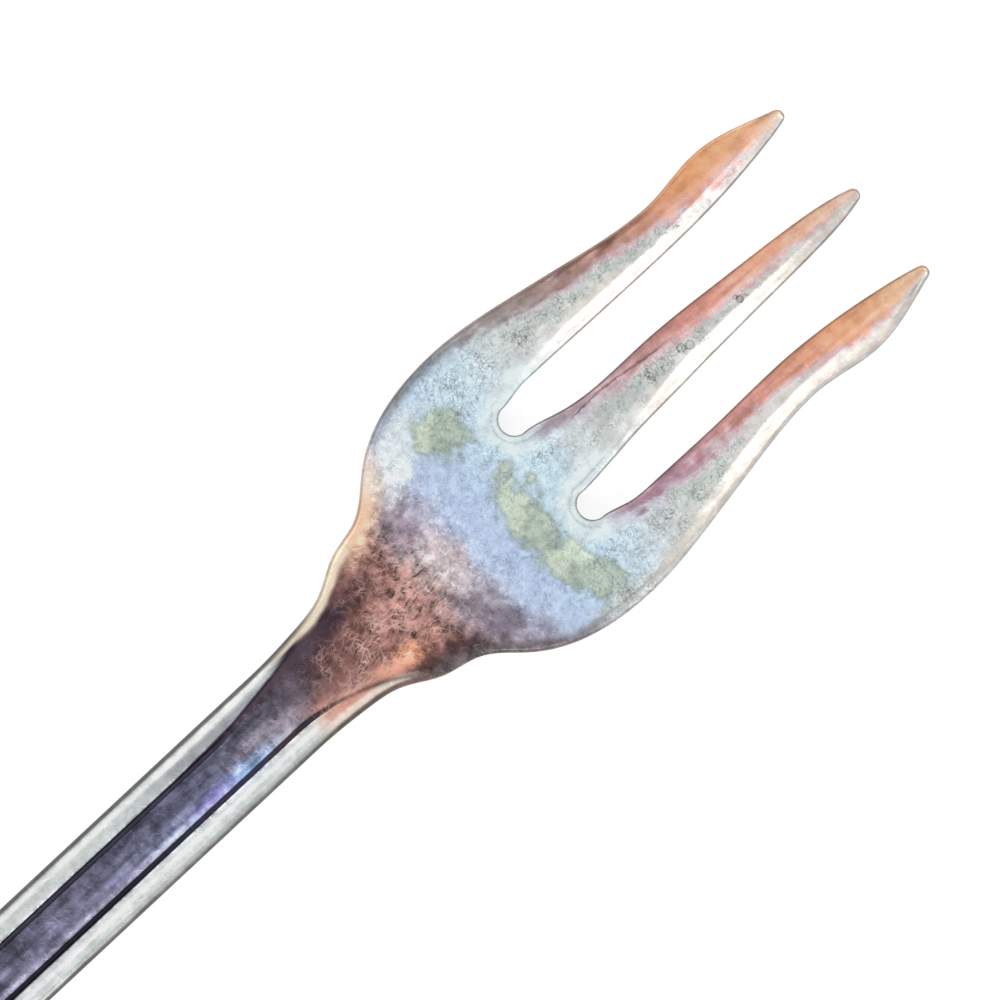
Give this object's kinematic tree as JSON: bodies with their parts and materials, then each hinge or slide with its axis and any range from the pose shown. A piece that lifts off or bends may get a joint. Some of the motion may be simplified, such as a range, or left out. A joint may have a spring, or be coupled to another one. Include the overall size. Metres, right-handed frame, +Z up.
{
  "type": "oyster fork",
  "caption": "Small one-piece table fork with slim spear tines, a widening handle bordered by a thread groove, and an arched neck.",
  "frame": {"origin": "on the table, under the middle of the fork's bounding box", "axes": "+X across the fork, +Y along it towards the tips of the tines, +Z up, out of the front of the fork"},
  "size_m": [0.019, 0.148, 0.009],
  "materials": {
    "silver": "polished silver plate, worn, toned and finely scratched"
  },
  "bodies": {
    "root": {"fork": "silver"}
  },
  "joints": []
}
